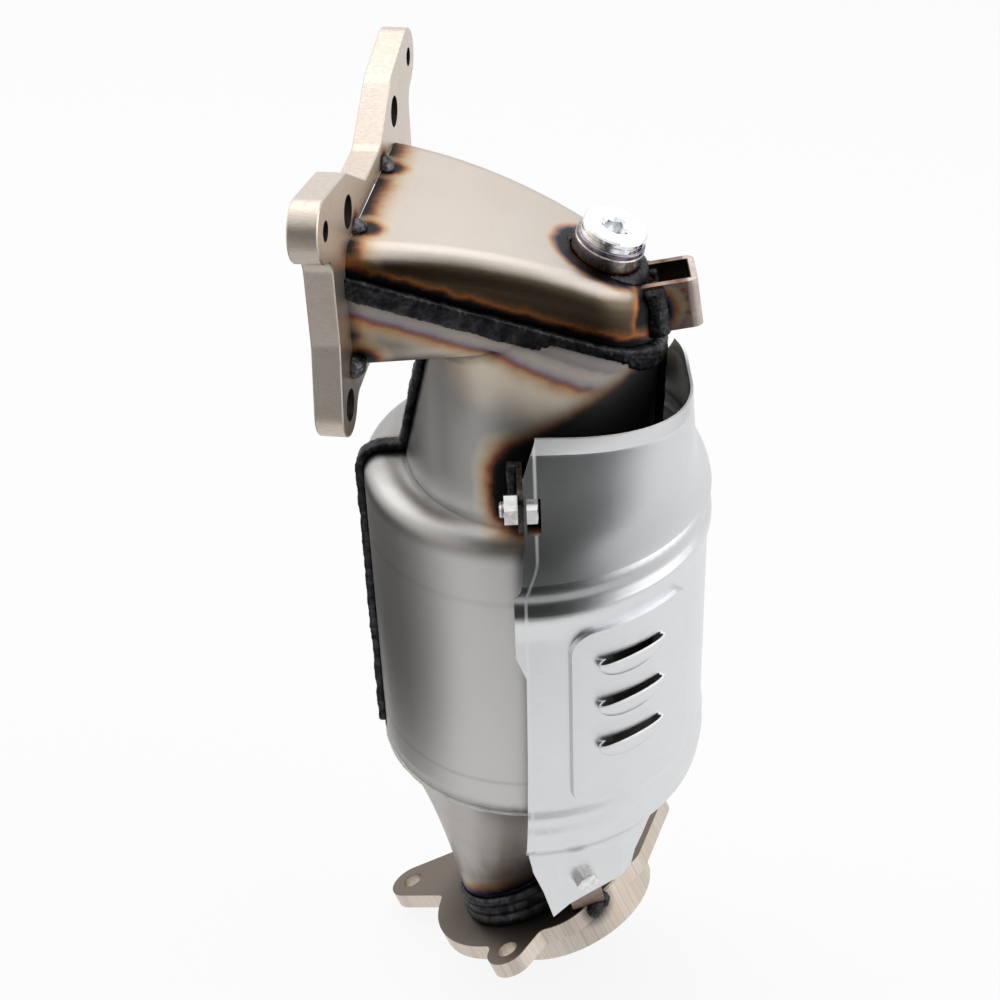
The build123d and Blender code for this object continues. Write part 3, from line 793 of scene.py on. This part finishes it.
def bluedWasher(s):
    material, tree, shader, place = newMaterial("bluedWasher")
    grain = noiseNode(tree, place, s["scale"])
    colour = rampNode(tree, grain, s["stops"]).outputs["Color"]
    finishGrained(tree, shader, colour, grain, s)
    return material


bungSettings = {
    "colour": (0.42, 0.41, 0.40, 1),
    "warm": (0.30, 0.27, 0.25, 1),
    "foot": 307.5,  # along the bung's axis
    "footBand": (3.0, 1.5, "warmTint"),
    "scale": 0.5,
    "mix": (0.35, 0.7),
    "rough": (0.22, 0.4),
    "bump": 0.04,
}


def bungSteel(s):
    material, tree, shader, place = newMaterial("turnedBungSteel")
    rise = planeHeight(tree, place, canFrame["bungAxis"], s["foot"])
    grain = noiseNode(tree, place, s["scale"], 4.0)
    colour = mixColour(tree, spanNode(tree, grain, *s["mix"]), s["colour"], s["warm"])
    colour = tinted(tree, colour, place, rise, s["footBand"])
    finishGrained(tree, shader, colour, grain, s)
    return material


# clip bracket at the tip: rusty, with a paler end plate, and painted shade darkening the inside of its channel
bracketSettings = {
    "foot": Vector((46.0, -1.0, 288.5)),
    "along": Vector((0.990, 0.0, 0.139)),
    "inner": 6.6,  # half the width of the channel
    "innerEdge": (-0.1, 0.2),
    "reach": 17.2,
    "reachEdge": 0.3,
    "rust": [(0.3, (0.13, 0.065, 0.038, 1)), (0.48, (0.23, 0.135, 0.085, 1)),
             (0.6, (0.17, 0.105, 0.10, 1)), (0.75, (0.10, 0.10, 0.15, 1))],
    "streak": (0.07, 0.04, 0.025, 1),
    "plate": (0.58, 0.50, 0.45, 1),
    "streakSpan": (0.5, 0.8, 0.0, 0.55),
    "plateSpan": (15.2, 16.4),
    "worn": (0.34, 0.26, 0.24, 1),
    "wornSpan": (0.42, 0.5, 0.0, 0.35),
    "inside": (0.012, 0.011, 0.010, 1),
    "insideShare": 0.93,
    "weldRadius": 4.5,
    "weldBand": (7.0, 3.0, "blueTint"),
    "cloud": 0.2,
    "rough": (0.32, 0.5),
    "bump": 0.1,
    "stretch": (0.35, 0.35, 2.4),
}


def bracketSteel(s):
    material, tree, shader, place = newMaterial("rustedBracketSteel")
    cloud = noiseNode(tree, place, s["cloud"], 4.0)
    streak = noiseNode(tree, vectorNode(tree, "MULTIPLY", place, s["stretch"]), 1.0, 4.0, 0.7)
    arm = vectorNode(tree, "SUBTRACT", place, s["foot"])
    along = vectorNode(tree, "DOT_PRODUCT", arm, s["along"], scalar=True)
    across = sizeOf(tree, axesOf(tree, arm)[1])
    colour = rampNode(tree, cloud, s["rust"]).outputs["Color"]
    colour = mixColour(tree, spanNode(tree, streak, *s["streakSpan"]), colour, s["streak"])
    colour = mixColour(tree, spanNode(tree, along, *s["plateSpan"]), colour, s["plate"])
    colour = mixColour(tree, spanNode(tree, cloud, *s["wornSpan"]), colour, s["worn"])
    low, high = s["innerEdge"]
    # painted shade inside the channel
    inside = multiply(tree, spanNode(tree, across, s["inner"] + low, s["inner"] + high, 1.0, 0.0),
                      spanNode(tree, along, s["reach"], s["reach"] + s["reachEdge"], 1.0, 0.0))
    colour = mixColour(tree, multiply(tree, inside, s["insideShare"]), colour, s["inside"])
    weld = spotDistance(tree, place, weldSpots["bracket"], s["weldRadius"])
    colour = tinted(tree, colour, place, weld, s["weldBand"])
    finishGrained(tree, shader, colour, streak, s)
    return material


# rolled thread on the end of the upper bolt, drawn by its bump, with painted shade darkening its grooves
threadSettings = {
    "pitch": 1.0,
    "start": -6.9,
    "startEdge": 0.2,
    "depth": 0.45,
    "groove": (0.12, 0.11, 0.10, 1),
    "grooveShadeSpan": (0.4, 1.0, 0.0, 0.75),
}


def threadedZinc(s):
    material, tree, shader, place = newMaterial("threadedZinc")
    zinc = smallFinishes["zincPlate"]
    along = axesOf(tree, place)[0]
    grain = noiseNode(tree, place, zinc["scale"])
    turn = sizeOf(tree, mathNode(tree, "SINE", multiply(tree, along, pi / s["pitch"])))
    groove = multiply(tree, turn, spanNode(tree, along, s["start"] - s["startEdge"], s["start"], 1.0, 0.0))
    # painted shade in the thread's grooves
    colour = mixColour(tree, spanNode(tree, groove, *s["grooveShadeSpan"]), zinc["colours"][0], s["groove"])
    finishMetal(tree, shader, colour, spanNode(tree, grain, 0.3, 0.7, *zinc["rough"]), groove, s["depth"])
    return material


# the ceramic brick, with its square channels on the upper face drawn as painted shade in the open cells
brickSettings = {
    "colours": [(0.50, 0.43, 0.33, 1), (0.60, 0.53, 0.42, 1)],
    "channel": (0.05, 0.04, 0.03, 1),
    "cells": 0.8,  # per millimetre
    "faceSpan": (219.0, 219.9, 0.0, 0.7),
    "scale": 0.6,
    "rough": (0.8, 0.95),
    "bump": 0.1,
    "metallic": 0.0,
}


def brickCeramic(s):
    material, tree, shader, place = newMaterial("washcoatBrick")
    cells = addNode(tree, "TexChecker")
    cells.inputs["Scale"].default_value = s["cells"]
    feed(tree, cells.inputs["Vector"], place)
    grain = noiseNode(tree, place, s["scale"])
    shade = mixColour(tree, grain, *s["colours"])
    end = spanNode(tree, axesOf(tree, place)[2], *s["faceSpan"])
    # painted shade: the open cells are darkened
    colour = mixColour(tree, multiply(tree, cells.outputs["Fac"], end), shade, s["channel"])
    finishGrained(tree, shader, colour, grain, s)
    return material


matSettings = {
    "colours": [(0.62, 0.60, 0.54, 1), (0.78, 0.76, 0.70, 1)],
    "scale": 1.1,
    "rough": (0.85, 0.98),
    "bump": 0.3,
    "metallic": 0.0,
}


def matFibre(s):
    material, tree, shader, place = newMaterial("pressedFibre")
    grain = noiseNode(tree, place, s["scale"], 5.0)
    colour = mixColour(tree, grain, *s["colours"])
    finishGrained(tree, shader, colour, grain, s)
    return material


finishes = {
    "flange_steel": flangeSteel(flangeSettings),
    "cover_steel": coverSteel(coverSettings),
    "can_steel": canSteel(canSettings),
    "weld_metal": weldMetal("darkWeld", weldSettings["beadLight"], weldSettings),
    "tack_metal": weldMetal("tackWeld", weldSettings["tackLight"], weldSettings),
    "shield_alloy": shieldAlloy(shieldSettings),
    "plug_steel": smallFinish("brightPlug"),
    "washer_copper": bluedWasher(washerSettings),
    "bung_steel": bungSteel(bungSettings),
    "bracket_steel": bracketSteel(bracketSettings),
    "fixing_zinc": smallFinish("zincPlate"),
    "ceramic_brick": brickCeramic(brickSettings),
    "mat_fibre": matFibre(matSettings),
}
# nodes that look unlike the rest of their slot
ownFinish = {
    "weld_can_rim": finishes["can_steel"],
    "outlet_cone": coneSteel(coneSettings),
    "exit_flange": outletFlangeSteel(outletSettings),
    # near black, so the plate between the nut and the shield hardly shows
    "shield_bracket_upper": smallFinish("nearBlackSteel"),
    "upper_bolt": threadedZinc(threadSettings),
}
slotOf = {part["node"]: part["material_slot"] for part in frame["record"]["subparts"]}
print("materials made")


def dress(obj, material):
    obj.data.materials.clear()
    obj.data.materials.append(material)


for name, obj in nodes.items():
    dress(obj, ownFinish.get(name, finishes[slotOf[name]]))
print("nodes dressed")


# how far along its bead a point lies, in millimetres
def seamRun(p):
    tip = canFrame["tip"]
    if p.x > tip.x:
        return canFrame["tipRadius"] * atan2(p.x - tip.x, tip.y - p.y)
    if p.y < tip.y:
        return p.x - tip.x
    return canFrame["tipRadius"] * pi + tip.x - p.x


def heightRun(p):
    return p.z


def bungRun(p):
    arm = p - canFrame["bungTop"]
    return canFrame["bungRadius"] * atan2(arm.y, arm.x)


def ringRun(p):
    arm = p - canFrame["pipeSpot"]
    return canFrame["ringRadius"] * atan2(arm.y, arm.x)


def canRun(p):
    return canFrame["canRadius"] * atan2(p.y, p.x)


# weld beads: each plain bead is copied, remeshed finely and given ripples along its run and lumps all over
beads = {
    "weld_cover_seam": {"voxel": 0.55, "run": seamRun, "pitch": 2.6, "ripple": 0.06, "lump": 0.6, "soft": 9},
    "weld_shell_left": {"voxel": 0.5, "run": heightRun, "pitch": 3.0, "ripple": 0.02, "lump": 0.55, "soft": 10},
    "weld_shell_right": {"voxel": 0.5, "run": heightRun, "pitch": 3.0, "ripple": 0.02, "lump": 0.5, "soft": 10},
    "weld_bung_collar": {"voxel": 0.4, "run": bungRun, "pitch": 2.3, "ripple": 0.05, "lump": 0.5, "soft": 6},
    "weld_exit_ring": {"voxel": 0.55, "run": ringRun, "pitch": 2.2, "ripple": 0.04, "lump": 0.35, "soft": 4},
    "weld_inlet_tacks": {"voxel": 0.3, "run": heightRun, "pitch": 1.6, "ripple": 0.12, "lump": 0.7, "soft": 4},
    "weld_bracket_base": {"voxel": 0.35, "run": heightRun, "pitch": 2.0, "ripple": 0.14, "lump": 0.6, "soft": 5},
    "weld_shield_foot": {"voxel": 0.35, "run": canRun, "pitch": 2.0, "ripple": 0.16, "lump": 0.6, "soft": 4},
    "weld_can_rim": {"voxel": 0.45, "run": canRun, "pitch": 2.4, "ripple": 0.08, "lump": 0.25, "soft": 4},
    "weld_upper_tab": {"voxel": 0.35, "run": heightRun, "pitch": 2.0, "ripple": 0.12, "lump": 0.4, "soft": 4},
}
beadNoise = {
    "wander": 0.35,  # the ripples' wandering along the bead, per millimetre, and how far it goes
    "wanderReach": 1.2,
    "crest": 1.6,
    "trough": 0.6,
    "broad": 0.22,  # broad and fine lumps, per millimetre
    "fine": 0.9,
    "fineShare": 0.5,
    "swell": 0.45,
    "lumps": 0.8,
}


def applyModifier(obj, kind, **values):
    modifier = obj.modifiers.new(kind.lower(), kind)
    for name, value in values.items():
        setattr(modifier, name, value)
    bpy.context.view_layer.objects.active = obj
    bpy.ops.object.modifier_apply(modifier=modifier.name)


# how far a point of the bead moves outwards, in millimetres
def beadShift(p, s, n):
    wander = n["wanderReach"] * noise.noise(p * n["wander"])
    wave = abs(sin(pi * (s["run"](p) + wander) / s["pitch"]))
    lump = noise.noise(p * n["broad"]) + n["fineShare"] * noise.noise(p * n["fine"])
    return s["ripple"] * (n["crest"] * wave - n["trough"]) + s["lump"] * (n["swell"] + n["lumps"] * lump)


def rippledBead(name, s):
    source = nodes[name]
    bpy.ops.object.select_all(action="DESELECT")
    bead = bpy.data.objects.new(name.replace("weld_", "bead_"), source.data.copy())
    bpy.context.collection.objects.link(bead)
    bead.select_set(True)
    bpy.context.view_layer.objects.active = bead
    bpy.ops.object.mode_set(mode="EDIT")
    bpy.ops.mesh.select_all(action="SELECT")
    bpy.ops.mesh.remove_doubles(threshold=1e-6)
    bpy.ops.object.mode_set(mode="OBJECT")
    applyModifier(bead, "REMESH", mode="VOXEL", voxel_size=s["voxel"] * mm)
    applyModifier(bead, "SMOOTH", factor=0.5, iterations=s["soft"])
    vertices = bead.data.vertices
    shifts = [v.normal * beadShift(toCan(v.co), s, beadNoise) * mm for v in vertices]
    for v, shift in zip(vertices, shifts):
        v.co += shift
    bpy.ops.object.shade_smooth()
    dress(bead, ownFinish.get(name, finishes[slotOf[name]]))
    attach(bead, "root")
    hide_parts(name)


for name, settings in beads.items():
    rippledBead(name, settings)
print("weld beads rippled")

# floor and world read as white where they are seen, and light the part more softly
stageSettings = {
    "floorSize": 12.0,
    "floorSpot": (0.06, 0),
    "floorGap": 0.001,
    "floorColour": (0.86, 0.86, 0.86, 1),
    "whiteShare": 0.86,  # how much of the floor's shadow the white takes away
    "ambient": 0.55,
}


def seenDirectly(tree):
    path = addNode(tree, "LightPath")
    seen = larger(tree, path.outputs["Is Camera Ray"], path.outputs["Is Glossy Ray"])
    return larger(tree, seen, path.outputs["Is Transmission Ray"])


def makeFloor(s):
    low = cadBox[0][2]
    bpy.ops.mesh.primitive_plane_add(size=s["floorSize"], location=(*s["floorSpot"], low - s["floorGap"]))
    floor = bpy.context.object
    floor.name = "floor"
    bpy.ops.object.transform_apply(location=True, rotation=True, scale=True)
    material = bpy.data.materials.new("paleFloor")
    material.use_nodes = True
    tree = material.node_tree
    tree.nodes.clear()
    matt = addNode(tree, "BsdfDiffuse")
    matt.inputs["Color"].default_value = s["floorColour"]
    glow = addNode(tree, "Emission")
    mixed = addNode(tree, "MixShader")
    tree.links.new(multiply(tree, seenDirectly(tree), s["whiteShare"]), mixed.inputs[0])
    tree.links.new(matt.outputs[0], mixed.inputs[1])
    tree.links.new(glow.outputs[0], mixed.inputs[2])
    tree.links.new(mixed.outputs[0], addNode(tree, "OutputMaterial").inputs["Surface"])
    dress(floor, material)


def makeWorld(s):
    world = bpy.data.worlds.new("studio")
    bpy.context.scene.world = world
    world.use_nodes = True
    tree = world.node_tree
    tree.nodes.clear()
    back = addNode(tree, "Background")
    back.inputs["Color"].default_value = (1, 1, 1, 1)
    strength = spanNode(tree, seenDirectly(tree), 0.0, 1.0, s["ambient"], 1.0)
    tree.links.new(strength, back.inputs["Strength"])
    tree.links.new(back.outputs[0], addNode(tree, "OutputWorld").inputs["Surface"])


aim = Vector((0.07, 0, -0.17))  # lamps and the front card face the middle of the part
lamps = {
    "leftBox": {"place": (-1.3, 0.2, 0.9), "size": (1.4, 1.4), "power": 8},
    "rightBox": {"place": (1.4, -0.1, 0.55), "size": (1.3, 1.5), "power": 8},
    "topBox": {"place": (-0.1, 0.7, 1.2), "size": (1.8, 1.4), "power": 8},
}


def makeLamp(name, s):
    data = bpy.data.lights.new(name, "AREA")
    data.shape = "RECTANGLE"
    data.size, data.size_y = s["size"]
    data.energy = s["power"]
    lamp = bpy.data.objects.new(name, data)
    bpy.context.collection.objects.link(lamp)
    lamp.rotation_euler = (Vector(s["place"]) - aim).to_track_quat("Z", "Y").to_euler()
    lamp.location = s["place"]


# dark cards, which only the metal's reflections see, give the sheets their contrast as in a studio;
# the mats lie just over the floor, to the left and in front of the part
cards = {
    "frontCard": {"place": (0.30, -1.25, 0.33), "size": (2.1, 1.5), "shade": 0.03, "facing": True},
    "leftMat": {"place": (-0.46, 0.10, -0.386), "size": (0.66, 0.7), "shade": 0.06, "facing": False},
    "frontMat": {"place": (0.36, -0.92, -0.386), "size": (1.3, 0.82), "shade": 0.05, "facing": False},
}


def makeCard(name, s):
    place = Vector(s["place"])
    towards = place - aim if s["facing"] else Vector((0, 0, 1))
    bpy.ops.mesh.primitive_plane_add(size=1.0)
    card = bpy.context.object
    card.name = name
    card.matrix_world = Matrix.LocRotScale(place, towards.to_track_quat("Z", "Y"), Vector((*s["size"], 1)))
    bpy.ops.object.transform_apply(location=True, rotation=True, scale=True)
    material = bpy.data.materials.new(name)
    material.use_nodes = True
    tree = material.node_tree
    tree.nodes.clear()
    glow = addNode(tree, "Emission")
    glow.inputs["Color"].default_value = (s["shade"], s["shade"], s["shade"], 1)
    tree.links.new(glow.outputs[0], addNode(tree, "OutputMaterial").inputs["Surface"])
    dress(card, material)
    card.visible_camera = False
    card.visible_diffuse = False
    card.visible_shadow = False


makeFloor(stageSettings)
makeWorld(stageSettings)
for name, settings in lamps.items():
    makeLamp(name, settings)
for name, settings in cards.items():
    makeCard(name, settings)
print("stage set")
